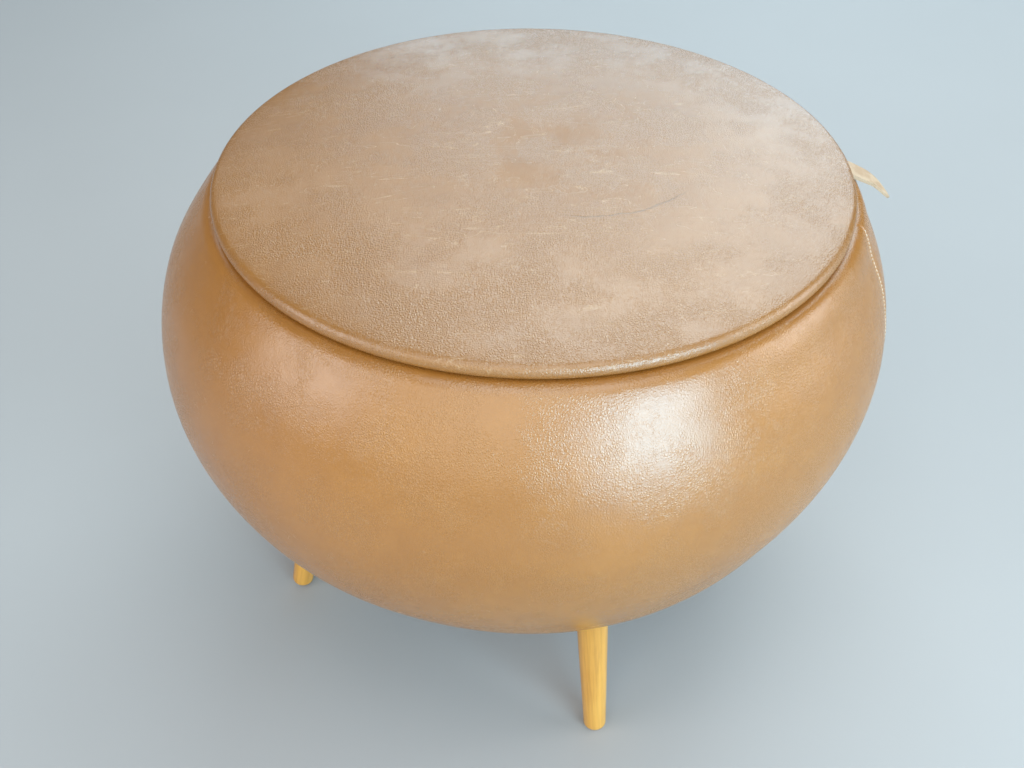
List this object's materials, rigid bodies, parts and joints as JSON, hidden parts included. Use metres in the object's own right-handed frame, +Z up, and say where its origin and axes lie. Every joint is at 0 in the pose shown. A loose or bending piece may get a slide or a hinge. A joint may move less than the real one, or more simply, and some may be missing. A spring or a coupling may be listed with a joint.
{
  "type": "ottoman with storage",
  "caption": "Round padded leather ottoman with a storage tub, a lift-off padded lid with a leather pull tab, and splayed round wooden legs.",
  "frame": {"origin": "on the floor under the middle of the round body", "axes": "+Z up; +X out from the middle through the lid's pull tab; +Y to the left of +X seen from above"},
  "size_m": [0.6, 0.6, 0.454],
  "materials": {
    "cover_leather": "satin",
    "tab_leather": "matte",
    "leg_wood": "satin",
    "birch_ply": "matte",
    "drum_board": "matte",
    "foam": "matte",
    "wadding": "matte",
    "rim_felt": "matte",
    "lining_cloth": "matte",
    "lining_board": "matte",
    "black_cambric": "matte",
    "zinc_steel": "satin",
    "glide_nylon": "satin"
  },
  "bodies": {
    "base": {"bottom_board": "birch_ply", "drum_wall": "drum_board", "rim_ring": "birch_ply", "rim_pad": "rim_felt", "body_foam": "foam", "body_wadding": "wadding", "body_cover_front": "cover_leather", "body_cover_back": "cover_leather", "lining_card": "lining_board", "lining_wall": "lining_cloth", "lining_floor": "lining_cloth", "dust_cover": "black_cambric", "leg_right": "leg_wood", "leg_back": "leg_wood", "leg_left": "leg_wood", "leg_front": "leg_wood", "hanger_bolts": "zinc_steel", "t_nuts": "zinc_steel", "foot_glides": "glide_nylon", "glide_nails": "zinc_steel", "base_staples": "zinc_steel", "rim_staples": "zinc_steel", "drum_pins": "zinc_steel", "ring_pins": "zinc_steel"},
    "lid": {"lid_board": "birch_ply", "lid_foam": "foam", "lid_wadding": "wadding", "lid_cover": "cover_leather", "lid_disc": "birch_ply", "disc_cover": "lining_cloth", "disc_screws": "zinc_steel", "tab_root": "tab_leather", "tab_screws": "zinc_steel", "lid_staples": "zinc_steel"},
    "pull_tab": {"pull_tab": "tab_leather"}
  },
  "joints": [
    {"name": "lid_lift", "type": "slide", "parent": "base", "child": "lid", "axis": [0, 0, 1], "range_m": [0, 0.25]},
    {"name": "tab_flex", "type": "hinge", "parent": "lid", "child": "pull_tab", "pos_m": [0.25059, 0, 0.4215], "axis": [0, -1, 0], "range_deg": [-4, 70], "stiffness_Nm_per_rad": 0.02}
  ]
}
